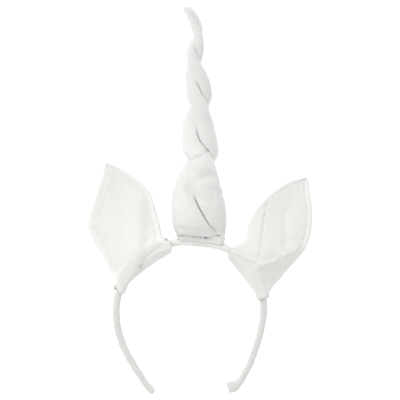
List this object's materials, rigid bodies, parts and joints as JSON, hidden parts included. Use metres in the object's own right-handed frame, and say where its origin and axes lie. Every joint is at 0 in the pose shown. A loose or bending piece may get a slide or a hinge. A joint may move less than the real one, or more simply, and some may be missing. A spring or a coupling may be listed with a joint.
{
  "type": "unicorn horn headband",
  "caption": "Fabric-covered headband with a twisted stuffed unicorn horn and cupped cloth ears, lying on its back.",
  "frame": {"origin": "middle of the part's box in plan, at the surface it lies on", "axes": "+Y along the horn to its tip, +Z out of the front of the headband, +X to the right seen from the front"},
  "size_m": [0.2064, 0.3598, 0.04],
  "materials": {
    "hoop_cloth": "white ribbed cloth stretched over the hoop",
    "horn_cloth": "white satin cloth",
    "ear_cloth": "white cloth",
    "lining_cloth": "white cloth"
  },
  "bodies": {
    "root": {"headband": "hoop_cloth", "horn": "horn_cloth", "ear_left": "ear_cloth", "ear_left_lining": "lining_cloth", "ear_right": "ear_cloth", "ear_right_lining": "lining_cloth"}
  },
  "joints": []
}
